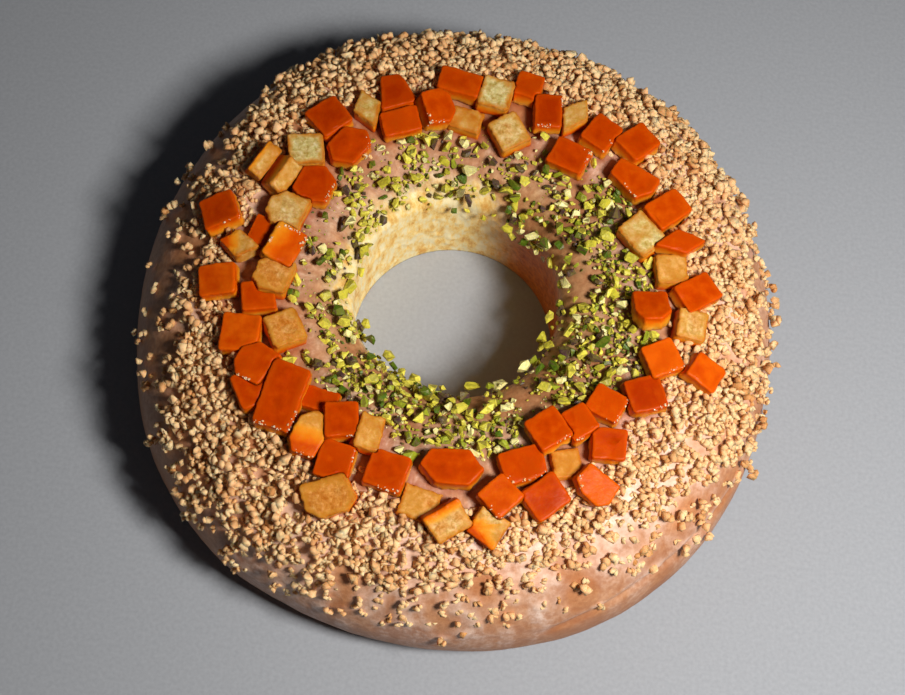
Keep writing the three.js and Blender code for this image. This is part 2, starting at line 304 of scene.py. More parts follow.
def build_loaf():
    reaches = np.linspace(WALL_REACH, FOOT, ROWS)
    azimuths = np.arange(AROUND) * 360 / AROUND
    reach_grid, azimuth_grid = np.meshgrid(reaches, azimuths, indexing="ij")
    azimuth, reach = azimuth_grid.ravel(), reach_grid.ravel()
    points, normals = loaf_surface(azimuth, reach)
    glaze = glaze_cover(points, azimuth, reach)
    points = points + normals * relief(points, azimuth, reach, glaze)[:, None]
    outer, inner = points[-AROUND:], points[:AROUND]
    base = [outer + (inner - outer) * step / (BASE_ROWS + 1) for step in range(1, BASE_ROWS + 1)]
    vertices = np.concatenate([points, *base])
    rows = ROWS + BASE_ROWS
    faces = []
    for row in range(rows):
        for column in range(AROUND):
            beside = (column + 1) % AROUND
            here, after = row * AROUND, (row + 1) % rows * AROUND
            faces.append((here + column, after + column, after + beside, here + beside))
    loaf = link_mesh("baked_ring", vertices, faces)
    hidden = np.zeros(BASE_ROWS * AROUND)
    mark(loaf, "glaze", np.concatenate([glaze, hidden]))
    mark(loaf, "reach", np.concatenate([reach, hidden + FOOT]))
    # Painted shade on the wall's side away from the key lamp.
    mark(loaf, "painted_wall_shade", np.concatenate([wall_shading(azimuth, reach), hidden]))
    mark(loaf, "wall", np.concatenate([wall_share(points, azimuth, reach), hidden]))
    turn = np.radians(np.concatenate([azimuth, np.tile(azimuths, BASE_ROWS)]))
    down = np.concatenate([reach, hidden + FOOT]) * RUN
    mark(loaf, "flow", np.stack([FLOW_RADIUS * np.cos(turn), FLOW_RADIUS * np.sin(turn), down], 1) * MM)
    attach(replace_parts(loaf, "ring"), "root")
    print("baked_ring:", len(faces) * 2, "triangles")
    return loaf


loaf = build_loaf()

# %% [markdown]
# ## Diced candied peel
# Each die is orange peel that was simmered in syrup and cut square: a deep orange skin, amber
# just under it, and pale pith below. A knife leaves edges that are crisp but not sharp, and the
# drying syrup pulls the faces in a little. A bevel would trip over the dice that are notched by
# their neighbours, so each solid is remeshed with small even cells, which takes the sharpness off
# every edge alike, and thinned out where it is flat. The direction of the skin is the normal of
# its largest upper face, and the height along it, kept as an attribute, tells the shader where
# skin ends and pith begins.

# %% Remeshing a die
CELL, KEPT_SHARE = 0.4, 0.45  # mm, and how many of the triangles the thinning keeps
DENT, RAGGED = 0.45, 0.5  # mm
WORN = 4  # rounds of smoothing


def drop_specks(mesh):
    """Deletes the loose specks that remeshing can leave beside a solid: all but its largest island."""
    shape = bmesh.new()
    shape.from_mesh(mesh)
    left, islands = set(shape.verts), []
    while left:
        island, newest = set(), {left.pop()}
        while newest:
            island |= newest
            newest = {edge.other_vert(vertex) for vertex in newest for edge in vertex.link_edges} - island
        left -= island
        islands.append(island)
    specks = [vertex for island in sorted(islands, key=len)[:-1] for vertex in island]
    if specks:
        bmesh.ops.delete(shape, geom=specks, context="VERTS")
        shape.to_mesh(mesh)
    shape.free()


def even_copy(name, source):
    """A new object with this solid, remeshed in even cells."""
    die = link(name, source.copy())
    remesh = die.modifiers.new("even cells", "REMESH")
    remesh.mode, remesh.voxel_size = "VOXEL", CELL * MM
    soften = die.modifiers.new("worn edges", "SMOOTH")
    soften.factor, soften.iterations = 0.5, WORN
    thin = die.modifiers.new("fewer triangles", "DECIMATE")
    thin.ratio = KEPT_SHARE
    mesh = bpy.data.meshes.new_from_object(die.evaluated_get(bpy.context.evaluated_depsgraph_get()))
    die.modifiers.clear()
    die.data = mesh
    drop_specks(mesh)
    mesh.materials.clear()
    mesh.polygons.foreach_set("use_smooth", [True] * len(mesh.polygons))
    return die


FLAT, LOOKS_UP = 0.9995, 0.25  # cosine of the angle between faces of one plane, and least rise of a normal


def upper_face_normal(mesh):
    """The normal of the widest flat face that looks up."""
    normals = np.array([face.normal for face in mesh.polygons])
    areas = np.array([face.area for face in mesh.polygons])
    alike = normals @ normals.T > FLAT
    widest_face = np.argmax(alike @ areas * (normals[:, 2] > LOOKS_UP))
    together = alike[widest_face]
    return Vector((normals[together] * areas[together, None]).sum(0)).normalized()


# Most dice lie flat, skin or pith up. These lie so that the skin faces another way: where it does,
# as azimuth and elevation in degrees, by the number of the die.
SKIN_SIDE = {25: (155, 10), 26: (155, 12), 30: (-25, 62), 31: (180, 15), 40: (275, 50), 46: (125, 5),
             48: (225, 0)}
TURNED_SKIN = (0.55, 0.92)  # on those the skin is a thin layer: where pith ends and full skin starts
# The tone of each die in order, the tucked ones last. Pith runs from dry and pale to amber through
# and through, as it took up syrup, and skin from deep red to light orange.
FIRST_TUCKED = 101
TONES = [
    0.5, 0.5, 0.5, 0.7, 0.45, -0.35, 0.6, 0.5, 0.45, 0.35, 0.3, 0.2, 0.2, 0.45, 0.0, 0.3, 0.45, 0.5, 0.1,
    0.45, -0.25, 0.2, 0.3, 0.0, 0.6, 0.35, 0.2, 0.35, 0.35, 0.8, 0.5, 0.75, 0.9, 0.6, 0.85, 0.95, 0.5,
    0.4, 0.35, 0.7, 0.35, 1.1, 0.4, 0.6, 0.4, 0.6, 0.45, 0.4, 0.7, 0.4, 0.35, 0.9, 0.5, 0.45, 0.4, 0.55,
    0.05, 0.9, 0.75, -0.1, 0.4, 0.2, 0.7, 0.6,
]
TONE = dict(zip([*range(1, 60), *range(FIRST_TUCKED, FIRST_TUCKED + 5)], TONES))


def direction(azimuth, elevation):
    turn, rise = math.radians(azimuth), math.radians(elevation)
    return Vector((math.cos(turn) * math.cos(rise), math.sin(turn) * math.cos(rise), math.sin(rise)))


def die_axes(normal):
    side = normal.cross(Vector((0, 0, 1))).normalized() if abs(normal.z) < 0.999 else Vector((1, 0, 0))
    return np.array([side, normal.cross(side), normal])


# %% Dressing the dice
LEAST_SIDE = 3  # mm2; smaller faces are bevels
ONE_SIDE = 0.97  # cosine of the angle between faces up to which they are one side
NOTCH_DEPTH, NOTCH_SHARE = 0.5, 0.1  # mm a corner lies outside a face, and of how many, to make it a notch
CUT_LEAN = 0.6  # cosine of the angle to the skin axis, under which a side is a knife cut
RIB_WIDTH, RIB_DEPTH, DENT_WIDTH = 1.7, 0.5, 6.5  # mm


def flat_sides(mesh):
    """Normals and distances in mm of a die's true sides. A side of a notch has corners far outside it."""
    corners, kept = corners_of(mesh), []
    for face in sorted(mesh.polygons, key=lambda f: -f.area):
        normal = np.array(face.normal)
        distance = normal @ np.array(face.center) / MM
        new = all(normal @ other < ONE_SIDE for other, _ in kept)
        outside = np.mean(corners @ normal > distance + NOTCH_DEPTH)
        if new and face.area > LEAST_SIDE * MM**2 and outside < NOTCH_SHARE:
            kept.append((normal, distance))
    return np.array([normal for normal, _ in kept]), np.array([distance for _, distance in kept])


def depths(mesh, up, points):
    """How many mm each point lies from the nearest edge, and inside the nearest knife cut. An edge is
    where two sides meet, so the second nearest side tells; a cut runs along the skin axis."""
    normals, distances = flat_sides(mesh)
    inside = np.clip(distances - points @ normals.T, 0, None)
    cuts = np.abs(normals @ np.array(up)) < CUT_LEAN
    return np.sort(inside, axis=1)[:, 1], inside[:, cuts].min(axis=1)


def dress_die(name, source, number):
    """Gives a die its soft edges, ragged cuts and the attributes its shader reads."""
    die = even_copy(name, source)
    turned = number in SKIN_SIDE
    up = direction(*SKIN_SIDE[number]) if turned else upper_face_normal(source)
    axes = die_axes(up)
    points = corners_of(die.data)
    from_edge, from_cut = depths(source, up, points)
    local = points @ axes.T
    low, high = local.min(0), local.max(0)
    middle, half = (low + high) / 2, (high - low) / 2
    out = (local - middle) / half
    share = (out[:, 2] + 1) / 2
    skin = share if name.endswith("zest") else 1 - share
    if turned:
        skin = np.clip((share - TURNED_SKIN[0]) / (TURNED_SKIN[1] - TURNED_SKIN[0]), 0, 1)
    ribs = field(points * np.array([1, 1, 0.4]), RIB_WIDTH, 2, number) * np.exp(-from_cut / RIB_DEPTH)
    dent = DENT * field(points, DENT_WIDTH, 2, number) + RAGGED * ribs * (1 - 0.7 * skin)
    points = points + dent[:, None] * (out / np.linalg.norm(out, axis=1, keepdims=True)) @ axes
    die.data.vertices.foreach_set("co", (points * MM).ravel())
    die.data.update()
    mark(die, "skin", skin)
    mark(die, "inside", from_edge)
    mark(die, "tone", np.full(len(points), TONE[number]))
    return die


def dice_the_peel():
    dice = []
    for name, node in sorted(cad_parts.items()):
        if name == "ring":
            continue
        die = dress_die("candied_" + name, node.data, int(name.split("_")[1]))
        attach(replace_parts(die, name), "root")
        dice.append(die)
    return dice


dice = dice_the_peel()

# %% [markdown]
# A few smaller dice lie half hidden under the others. They aren't solids of the frame, so each is
# cut here as a tapered block that sits in the crust and is dressed like the rest.

# %% Half-hidden dice
# azimuth, reach, turn, length, width, how deep it is sunk, and what lies up
TUCKED = [
    (94, -8.6, 15, 13, 10, 1.8, "pith"), (172.5, -0.5, 10, 12, 9, 1.6, "zest"),
    (229.5, -7.6, -30, 15, 9, 2.2, "zest"), (267, 9, 10, 14, 12, 3.0, "pith"),
    (305.2, 2, 20, 11, 11, 3.0, "pith"),
]
PEEL_THICKNESS, UPPER_SHARE, EDGE_BEVEL = 6.4, 0.94, 0.3  # mm, share of the lower face, mm


def cut_block(azimuth, reach, turn, length, width, sunk):
    """A mesh in metres of one tapered block that stands square on the crust."""
    point, normal = loaf_surface([azimuth], [reach])
    up = Vector(normal[0])
    outwards = Vector((math.cos(math.radians(azimuth)), math.sin(math.radians(azimuth)), 0))
    outwards = (outwards - up * outwards.dot(up)).normalized()
    outwards.rotate(Matrix.Rotation(-math.radians(turn), 3, up))
    along = up.cross(outwards)
    block = bmesh.new()
    bmesh.ops.create_cube(block, size=1)
    for corner in block.verts:
        x, y, z = corner.co
        share = UPPER_SHARE if z > 0 else 1
        height = (z + 0.5) * PEEL_THICKNESS - sunk
        place = Vector(point[0]) + (outwards * x * width + along * y * length) * share + up * height
        corner.co = place * MM
    bmesh.ops.bevel(block, geom=block.edges[:], offset=EDGE_BEVEL * MM, segments=1, affect="EDGES")
    mesh = bpy.data.meshes.new("block")
    block.to_mesh(mesh)
    block.free()
    return mesh


for number, (*shape, up) in enumerate(TUCKED):
    die = dress_die(f"candied_peel_tucked_{number + 1}_{up}", cut_block(*shape), FIRST_TUCKED + number)
    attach(die, "root")
    dice.append(die)
print("dice:", len(dice), "triangles:", sum(len(d.data.polygons) for d in dice))

# %% [markdown]
# ## Chopped toppings
# Roasted nuts are chopped to grains of 2 to 4.5 mm, pistachios to bits of 1.5 to 6 mm and finer
# crumbs. Blender's particle system could strew them, but here each is true geometry in one mesh. A
# grain is the convex hull of a few corners on a boxy ball, which has the flat cut faces of a
# soft nut for some twenty triangles. A roasted crumb is two rounder lumps grown together, shaded
# smooth. A stock of crumbs is turned, scaled and copied to spots sown at random on the crust,
# where no grain may crowd another or lie on the peel. One that lands at the foot of a die may
# press a millimetre or two into its side.

# %% A stock of crumbs
BOXINESS = 0.75  # 1 would be a ball and 0 a box


def lump(corners, proportions, boxiness, random):
    """Vertices and faces of one convex lump whose largest size is about 1."""
    directions = random.normal(size=(corners, 3))
    directions /= np.linalg.norm(directions, axis=1, keepdims=True)
    boxy = np.sign(directions) * np.abs(directions) ** boxiness * random.uniform(0.85, 1.1, (corners, 1))
    hull = bmesh.new()
    for corner in boxy * proportions * random.uniform(0.82, 1.18, 3) / 2:
        hull.verts.new(corner)
    made = bmesh.ops.convex_hull(hull, input=hull.verts)
    unused = set(made["geom_interior"] + made["geom_unused"])
    bmesh.ops.delete(hull, geom=list(unused), context="VERTS")
    hull.verts.index_update()
    vertices, faces = np.array([v.co for v in hull.verts]), [[v.index for v in f.verts] for f in hull.faces]
    hull.free()
    return vertices, faces


LUMP_SIZE, LUMP_OFFSET = 0.9, 0.19  # of a crumb that is grown together from several


def crumb_stock(count, corners, proportions, seed, lumps=1):
    """A list of crumbs whose largest size is about 1."""
    random, stock = np.random.default_rng(seed), []
    for _ in range(count):
        size, offset, boxiness = (LUMP_SIZE, LUMP_OFFSET, 1) if lumps > 1 else (1, 0, BOXINESS)
        turn = random.uniform(0, 2 * math.pi)
        vertices, faces, used = [], [], 0
        for number in range(lumps):
            angle = turn + 2 * math.pi * number / lumps
            middle = offset * np.array([math.cos(angle), math.sin(angle), random.normal(0, 0.4)])
            its_vertices, its_faces = lump(corners, proportions, boxiness, random)
            vertices.append(its_vertices * size * random.uniform(0.8, 1.1) + middle)
            faces += [[i + used for i in face] for face in its_faces]
            used += len(its_vertices)
        stock.append((np.concatenate(vertices), faces))
    return stock


# %% Where the dice and the crust lie
def search_tree(pieces):
    """A tree of these pieces' faces, which finds the nearest one or the one that a ray hits."""
    corners, faces = [], []
    for mesh in [piece.data for piece in pieces]:
        faces += [[i + len(corners) for i in face.vertices] for face in mesh.polygons]
        corners += [vertex.co for vertex in mesh.vertices]
    print("search tree of", len(pieces), "pieces:", len(faces), "faces")
    return BVHTree.FromPolygons(corners, faces)


dice_tree, loaf_tree = search_tree(dice), search_tree([loaf])


def by_azimuth(rows, azimuth):
    """Looks each column of a table up at any azimuth, with straight lines between its rows."""
    at, *columns = np.array(rows, float).T
    return [np.interp(azimuth, at, column, period=360) for column in columns]


# %% Sowing and joining grains
SMALL_SHARE = 1.7  # 1 would make every size as common as any other
CAST_HEIGHT, CAST_LENGTH = 25, 30  # mm: where a ray starts over the crust, and how far a die can stop it
KEEP_OFF = 0.25  # of a grain's size, from its foot to the nearest die
CELL_WIDTH = 6  # mm; neighbours are looked for in cells of this width
SEAT, LAYER_RISE = 0.33, 0.55  # of a grain's size: how high its middle sits, and one on another


def sow(tries, reaches, density, sizes, crowding, seed, overlaid=0.0):
    """Spots for grains: place, normal, size and layer, none nearer than crowding times their size.
    Sizes favour the small end, as a knife leaves more crumbs than chunks."""
    random = np.random.default_rng(seed)
    azimuth, reach = random.uniform(0, 360, tries), random.uniform(*reaches, tries)
    points, normals = loaf_surface(azimuth, reach)
    wide = np.hypot(points[:, 0], points[:, 1]) / (OUTER_RADIUS + 3)
    wanted = random.uniform(0, 1, tries) < density(points, azimuth, reach) * wide
    spots, cells = [], {}
    for point, normal in zip(points[wanted], normals[wanted]):
        size = sizes[0] + (sizes[1] - sizes[0]) * random.uniform() ** SMALL_SHARE
        layer = int(random.uniform() < overlaid)
        start, down = Vector((point + normal * CAST_HEIGHT) * MM), Vector(-normal)
        if dice_tree.ray_cast(start, down, CAST_LENGTH * MM)[0] is not None:
            continue
        landing = loaf_tree.ray_cast(start, down)[0]
        if landing is None or dice_tree.find_nearest(landing, KEEP_OFF * size * MM)[0] is not None:
            continue
        at = np.array(landing) / MM
        cell = tuple((at // CELL_WIDTH).astype(int)) + (layer,)
        near = [c for dx in (-1, 0, 1) for dy in (-1, 0, 1) for dz in (-1, 0, 1)
                for c in cells.get((cell[0] + dx, cell[1] + dy, cell[2] + dz, layer), [])]
        if any(np.sum((at - other) ** 2) < (crowding * (size + its) / 2) ** 2 for other, its in near):
            continue
        cells.setdefault(cell, []).append((at, size))
        spots.append((at, normal, size, layer))
    return spots


def strew(name, stock, spots, sunk, tumble, seed, smooth=False):
    """Joins a turned and scaled crumb for every spot into one piece that rides on the loaf."""
    random = np.random.default_rng(seed)
    vertices, faces, tones, cuts, count = [], [], [], [], 0
    for at, normal, size, layer in spots:
        shape, its_faces = stock[random.integers(len(stock))]
        lie = Vector(normal).to_track_quat("Z", "Y").to_matrix()
        spin = Matrix.Rotation(random.uniform(0, 2 * math.pi), 3, "Z")
        tilt = Matrix.Rotation(random.normal(0, tumble), 3, "X")
        turn = np.array(lie @ spin @ tilt)
        lift = size * (SEAT - random.uniform(0, 2 * sunk) + LAYER_RISE * layer)
        vertices.append((shape * size) @ turn.T + at + normal * lift)
        faces += [[i + count for i in face] for face in its_faces]
        tones += [random.uniform()] * len(shape)
        cuts += random.uniform(size=len(its_faces)).tolist()
        count += len(shape)
    piece = link_mesh(name, np.concatenate(vertices), faces, smooth)
    mark(piece, "tone", tones)
    mark(piece, "cut", cuts, "FACE")
    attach(piece, "root")
    print(name + ":", len(spots), "grains,", sum(len(f) - 2 for f in faces), "triangles")
    return piece


# %% [markdown]
# The nuts lie outside the peel. The band is thick round the back and right, where the loaf was
# rolled in them, and thins to single grains low on the left and front.

# %% Roasted chopped nuts
NUT_SIZES, NUT_PROPORTIONS = (2.7, 5.2), np.array([1, 0.95, 0.9])
STRAY_NUTS = 0.06  # chance that a sown grain stays outside the band
# azimuth, where the band starts and where it ends, as reaches in mm
NUT_BAND = [
    (0, 9, 42), (10, 9, 39), (22, 9, 40), (36, 9, 46), (50, 9, 56), (65, 9, 60), (90, 9, 58), (120, 9, 44),
    (145, 10, 33), (158, 12, 27), (170, 12, 22), (185, 12, 21), (205, 12, 31), (225, 12, 43), (250, 12, 42),
    (270, 15, 34), (290, 13, 28), (310, 12, 27), (330, 10, 38), (350, 9, 43),
]


def nut_density(points, azimuth, reach):
    start, end = by_azimuth(NUT_BAND, azimuth)
    clumps = field(points, 9, 3, 5)
    band = smoothstep(start - 7, start + 2, reach) * (1 - smoothstep(end - 8, end + 6, reach + 9 * clumps))
    gaps = smoothstep(0.02, 0.24, field(points, 6.5, 2, 61)) * smoothstep(14, 24, reach)
    gaps = gaps * np.maximum(bend(235, 330, 20, azimuth), 0.8 * bend(-15, 60, 15, azimuth))
    strays = STRAY_NUTS * (1 - smoothstep(end + 4, end + 32, reach + 14 * clumps)) * smoothstep(0, 12, reach)
    strays = strays * (1 - 0.8 * bend(100, 150, 15, azimuth)) * (1 - 0.5 * bend(165, 200, 12, azimuth))
    return np.maximum(band * (1 - gaps), strays)


PRESSED = 0.22  # share of a grain's size


def press_in(spots):
    """Low on the front the glaze ran over the grains, so they sit deeper in it."""
    places = np.array([at for at, *_ in spots]) - [*LOAF_AXIS, 0]
    azimuth, height = np.degrees(np.arctan2(places[:, 1], places[:, 0])), places[:, 2]
    deeper = PRESSED * bend(-110, -30, 20, azimuth) * (1 - smoothstep(38, 56, height))
    return [(at - normal * size * share, normal, size, layer)
            for (at, normal, size, layer), share in zip(spots, deeper)]


nut_spots = press_in(sow(
    tries=90000, reaches=(-2, 92), density=nut_density, sizes=NUT_SIZES, crowding=0.62, seed=31,
    overlaid=0.35))
nut_stock = crumb_stock(count=80, corners=12, proportions=NUT_PROPORTIONS, seed=7, lumps=2)
nuts = strew(
    "chopped_nuts", nut_stock, nut_spots, sunk=0.12, tumble=0.4, seed=8, smooth=True)

# %% [markdown]
# The pistachios are softer and break into slivers and fine crumbs. They lie on the inner slope
# between the peel and the hole, thickest on the right and front.

# %% Chopped pistachios
PISTACHIO_SIZES, PISTACHIO_PROPORTIONS = (1.6, 6.6), np.array([1, 0.72, 0.64])
# azimuth, where the band starts outside and ends inside as reaches in mm, and how much is covered
PISTACHIO_BAND = [
    (0, -4, -27, 0.95), (15, -5, -24, 0.95), (35, -4, -30, 0.9), (50, -12, -34, 0.7), (65, -13, -32, 0.4),
    (75, -18, -30, 0.2), (90, -12, -38, 0.3), (110, -10, -36, 0.32), (130, -12, -36, 0.3),
    (150, -16, -39, 0.22), (165, -16, -36, 0.12), (180, -12, -36, 0.18), (195, -14, -36, 0.15),
    (210, -16, -44, 0.3), (230, -15, -47, 0.7), (250, -13, -46, 0.75), (265, -14, -40, 0.55),
    (280, -10, -27, 0.9), (296, -13, -26, 0.75), (301, -14, -27, 0.4), (307, -15, -28, 0.15),
    (314, -15, -30, 0.9), (325, -8, -32, 1), (345, -2, -30, 1),
]
# Where a pinch of them fell in a heap: azimuth and reach in mm
PISTACHIO_HEAPS = [
    (115, -18), (91, -18), (73, -18), (84, -30), (72, -32), (144, -26), (145, -36), (130, -24), (141, -21),
    (171, -27), (178, -31), (171, -18), (159, -37), (205, -34), (199, -24), (207, -46), (189, -14),
    (212, -25), (220, -24), (236, -24), (226, -29), (248, -20), (258, -17), (104, -27), (99, -23),
    (62, -40), (44, -42),
]
HEAP_SIZE = 3.2  # mm
STRAY_BITS = 0.08  # chance that a sown bit stays outside the heaps


def heaped(azimuth, reach):
    """1 in the middle of a heap, falling to 0 outside."""
    share = np.zeros(len(azimuth))
    for at, reach_at in PISTACHIO_HEAPS:
        along = np.radians((azimuth - at + 180) % 360 - 180) * np.interp(reach_at, reach_along, section[:, 0])
        share = np.maximum(share, np.exp(-(along**2 + (reach - reach_at) ** 2) / HEAP_SIZE**2))
    return share


def pistachio_density(points, azimuth, reach):
    outside, inside, cover = by_azimuth(PISTACHIO_BAND, azimuth)
    clumps = 0.5 + 0.5 * field(points, 9, 3, 12)
    slope = smoothstep(inside - 3, inside + 2, reach) * (1 - smoothstep(outside - 2, outside + 4, reach))
    heaps = smoothstep(0.73 - 0.56 * cover, 0.87 - 0.56 * cover, clumps)
    strays = STRAY_BITS * (1 - smoothstep(-8, 0, reach)) * smoothstep(-47, -40, reach)
    return np.maximum(np.maximum(slope * heaps, strays * cover), 0.9 * heaped(azimuth, reach))


DUST_SIZES = (0.6, 1.5)  # mm


def dust_density(points, azimuth, reach):
    """The finest crumbs of the chopping lie all over the inner slope, most of them near the heaps."""
    outside, inside, _ = by_azimuth(PISTACHIO_BAND, azimuth)
    slope = smoothstep(inside - 4, inside + 3, reach) * (1 - smoothstep(outside - 1, outside + 7, reach))
    return slope * (0.25 + 0.5 * smoothstep(-0.1, 0.4, field(points, 6, 2, 77)))


green_spots = sow(
    tries=50000, reaches=(-48, 2), density=pistachio_density, sizes=PISTACHIO_SIZES, crowding=0.67, seed=41,
    overlaid=0.35)
dust_spots = sow(
    tries=9000, reaches=(-48, 6), density=dust_density, sizes=DUST_SIZES, crowding=1.0, seed=43)
green_stock = crumb_stock(count=60, corners=14, proportions=PISTACHIO_PROPORTIONS, seed=17)
greens = strew(
    "chopped_pistachios", green_stock, green_spots + dust_spots,
    sunk=0.1, tumble=0.6, seed=18)

# %% [markdown]
# Where the dice were wettest, the syrup dried to beads and crystals in rows along an upper edge.
# The rows lie on the edges that face the key lamp and the camera, and the beads' pale tint is
# painted highlight: they stand in for the glints of the wet syrup.

# %% Beads of dried syrup
# die number: how many rows of beads, and how many beads in a row
BEADED = {8: (1, 7), 10: (1, 5), 11: (2, 8), 13: (2, 12), 18: (2, 9), 23: (1, 6), 27: (1, 12), 29: (1, 6),
          30: (3, 12), 35: (2, 8), 37: (2, 12), 39: (3, 12), 40: (1, 8), 41: (1, 9), 43: (1, 6), 45: (1, 10),
          49: (1, 6), 51: (2, 6), 52: (1, 8), 53: (1, 6), 54: (1, 6), 56: (2, 8), 57: (1, 8), 58: (1, 7)}
BEAD_SIZES, BEAD_PROPORTIONS = (0.4, 1.15), np.array([1, 0.9, 0.8])  # sizes in mm
BEAD_RUN, BEAD_EDGE = 4.0, 1.5  # mm: half a row's length, and how far a bead lies from an edge at most
GLINT_SIDE = np.array([0.35, -0.85, 0.4])  # the edges that face this way, between the key lamp and the camera, catch highlights: beads there are painted glints
# Two lumps of sugar, of two grains each, stuck to a die: azimuth, reach, height over the crust, size
SUGAR_LUMPS = [
    (132.5, -14.5, 5.6, 2.6), (130.6, -15.6, 4.6, 1.8), (305.6, 12.6, 4.2, 1.7), (304.8, 14, 3.2, 1.3),
]


def bead_spots(seed):
    random = np.random.default_rng(seed)
    spots = []
    for number, (rows, count) in BEADED.items():
        die = dice[number - 1].data
        places = corners_of(die)
        normals = np.array([v.normal for v in die.vertices])
        inside = np.array([v.value for v in die.attributes["inside"].data])
        # Rows go on edges that face the key lamp and the camera: painted glints.
        rim = np.flatnonzero((inside < BEAD_EDGE) & (normals[:, 2] > 0.3) & (normals @ GLINT_SIDE > 0.45))
        for _ in range(rows):
            middle = places[random.choice(rim)]
            row = rim[np.linalg.norm(places[rim] - middle, axis=1) < BEAD_RUN]
            for chosen in random.choice(row, min(len(row), count), replace=False):
                size = BEAD_SIZES[0] + (BEAD_SIZES[1] - BEAD_SIZES[0]) * random.uniform() ** 2
                spots.append((places[chosen], normals[chosen], size, 0))
    for azimuth, reach, height, size in SUGAR_LUMPS:
        point, normal = loaf_surface([azimuth], [reach])
        spots.append((point[0] + normal[0] * height, normal[0], size, 0))
    return spots


bead_stock = crumb_stock(count=30, corners=14, proportions=BEAD_PROPORTIONS, seed=23)
beads = strew(
    "syrup_beads_and_painted_glints", bead_stock, bead_spots(seed=24), sunk=0.1, tumble=0.5, seed=25)

# %% [markdown]
# Syrup seeps out under the dice and darkens the crust, and the dark red-brown at each die's foot is
# also painted contact shade. The glaze collects round the grains in pale rings. Between the green
# bits the glaze is painted darker brown, as shade among the heaps. So each point of the loaf keeps
# how near it is to a die, to a grain of nut and to a bit of pistachio.

# %% Syrup, glaze and painted shade at the foot of the toppings
SEEP_AND_SHADE, RING, PISTACHIO_SHADE, POOL_HEIGHT = 3.2, 2.6, 2.2, 0.5  # mm


def mark_nearness(name, tree, limit):
    """Marks the loaf with 1 where it touches the tree's faces, falling to 0 at the limit in mm."""
    nearness = np.zeros(len(loaf.data.vertices))
    for vertex in loaf.data.vertices:
        distance = tree.find_nearest(vertex.co, limit * MM)[3]
        if distance is not None:
            nearness[vertex.index] = 1 - distance / (limit * MM)
    mark(loaf, name, nearness)
    print(name + ":", round(100 * float((nearness > 0).mean()), 1), "% of the crust's points")


# Dark red-brown round each die: syrup seep and painted contact shade.
mark_nearness("syrup", dice_tree, SEEP_AND_SHADE)
mark_nearness("pooled", search_tree([nuts]), RING)
# Darker brown between the pistachio bits: painted shade.
mark_nearness("shade_among_pistachios", search_tree([greens]), PISTACHIO_SHADE)


def raise_pools():
    """Lifts the crust where glaze collected at the foot of a grain."""
    mesh = loaf.data
    kept = [mesh.attributes[name].data for name in ("pooled", "glaze")]
    pooled, glaze = [np.array([row.value for row in rows]) for rows in kept]
    places, normals = np.zeros((2, 3 * len(mesh.vertices)))
    mesh.vertices.foreach_get("co", places)
    mesh.vertices.foreach_get("normal", normals)
    lift = POOL_HEIGHT * MM * pooled**2 * glaze
    mesh.vertices.foreach_set("co", places + normals * np.repeat(lift, 3))
    mesh.update()


raise_pools()

# %% [markdown]
# ## Finishes
# Brioche crust is egg-washed and bakes to a satin brown that is never even. Sugar glaze dries on
# it to a thin film, pinkish white where it is thick and clear where it is thin. The wall of the
# hole baked against the tin and stays pale gold, with small blisters that baked brown. Its side
# away from the key lamp is painted a darker orange-brown, which is painted shade.

# %% Baked crust under sugar glaze
ATTRIBUTE, PLACE, NOISE = "ShaderNodeAttribute", "ShaderNodeTexCoord", "ShaderNodeTexNoise"
RAMP, MIX, SPAN = "ShaderNodeValToRGB", "ShaderNodeMix", "ShaderNodeMapRange"
MATH, BUMP = "ShaderNodeMath", "ShaderNodeBump"
SURFACE = "ShaderNodeBsdfPrincipled"
KEPT = ("reach", "glaze", "painted_wall_shade", "wall", "syrup", "pooled", "shade_among_pistachios")


def bare_crust(add, place, fine, kept):
    """The crust under the glaze: patchy brown outside, pale crumb on the wall that the tin shaded, painted
    shade on the wall away from the lamp.
    """
    patches = add(NOISE, {"Vector": place, "Scale": per_metre(24), "Detail": 5})
    baked = add(RAMP, {"Fac": patches}, [(0.36, "B0744C"), (0.5, "BE8459"), (0.64, "CA936A")])
    speckle = add(SPAN, {"Value": fine, "From Min": 0.6, "From Max": 0.36, "To Max": 0.5})
    baked = add(MIX, {"Factor": speckle, MIX_A: baked, MIX_B: "9A5A34"})
    darker = add(SPAN, {
        "Value": kept["reach"], "From Min": WIDEST_REACH - 22, "From Max": WIDEST_REACH + 4, "To Max": 0.55})
    baked = add(MIX, {"Factor": darker, MIX_A: baked, MIX_B: "A0602F"})
    upright = add("ShaderNodeMapping", {"Vector": place, "Scale": (1, 1, 0.4)})
    pores = add(NOISE, {"Vector": upright, "Scale": per_metre(4), "Detail": 8, "Roughness": 0.68})
    crumb = add(RAMP, {"Fac": pores}, [(0.34, "E4AA4A"), (0.47, "FFE08E"), (0.58, "FFF6CA")])
    # Darker orange-brown for the wall's side away from the key lamp: painted shade with a warm painted
    # bounce.
    browner = add(RAMP, {"Fac": fine}, [(0.35, "9A4612"), (0.65, "C67028")])
    wall = add(MIX, {"Factor": kept["painted_wall_shade"], MIX_A: crumb, MIX_B: browner})
    return add(MIX, {"Factor": kept["wall"], MIX_A: baked, MIX_B: wall})


